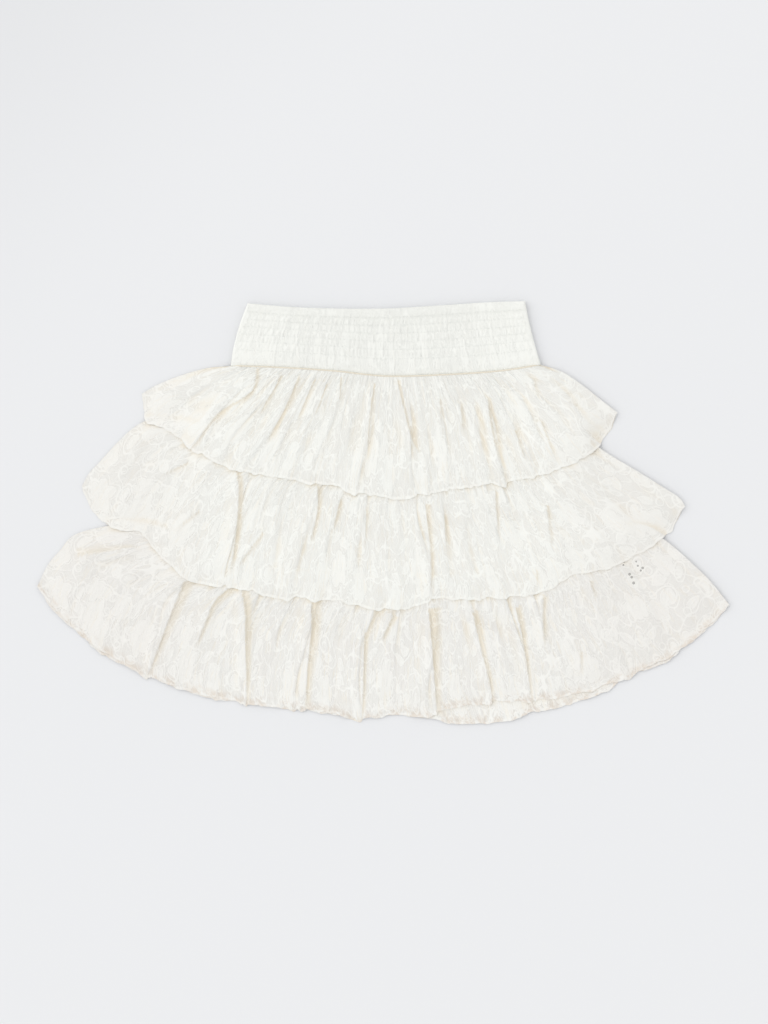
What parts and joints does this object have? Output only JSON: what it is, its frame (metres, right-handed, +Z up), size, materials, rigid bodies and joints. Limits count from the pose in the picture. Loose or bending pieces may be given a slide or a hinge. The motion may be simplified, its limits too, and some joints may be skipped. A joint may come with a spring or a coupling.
{
  "type": "tiered ruffle skirt",
  "caption": "Short white lace skirt laid flat: smocked waistband, gathered tiers with flared side tips, and a plain lining.",
  "frame": {"origin": "middle of the skirt's box, on the surface that it lies on", "axes": "+X to the right of the front as seen from above, +Y from the hem to the waist, +Z up from the surface, out of the front"},
  "size_m": [0.665, 0.406, 0.0221],
  "materials": {
    "smocked_lace": "matte white lace gathered on rows of elastic",
    "lace": "matte white floral lace with a raised cord outline",
    "lining": "plain white woven lining"
  },
  "bodies": {
    "root": {"waistband_front": "smocked_lace", "waistband_back": "smocked_lace", "tier_1_front": "lace", "tier_1_back": "lace", "tier_2_front": "lace", "tier_2_back": "lace", "tier_3_front": "lace", "tier_3_back": "lace", "lining_front": "lining", "lining_back": "lining"}
  },
  "joints": []
}
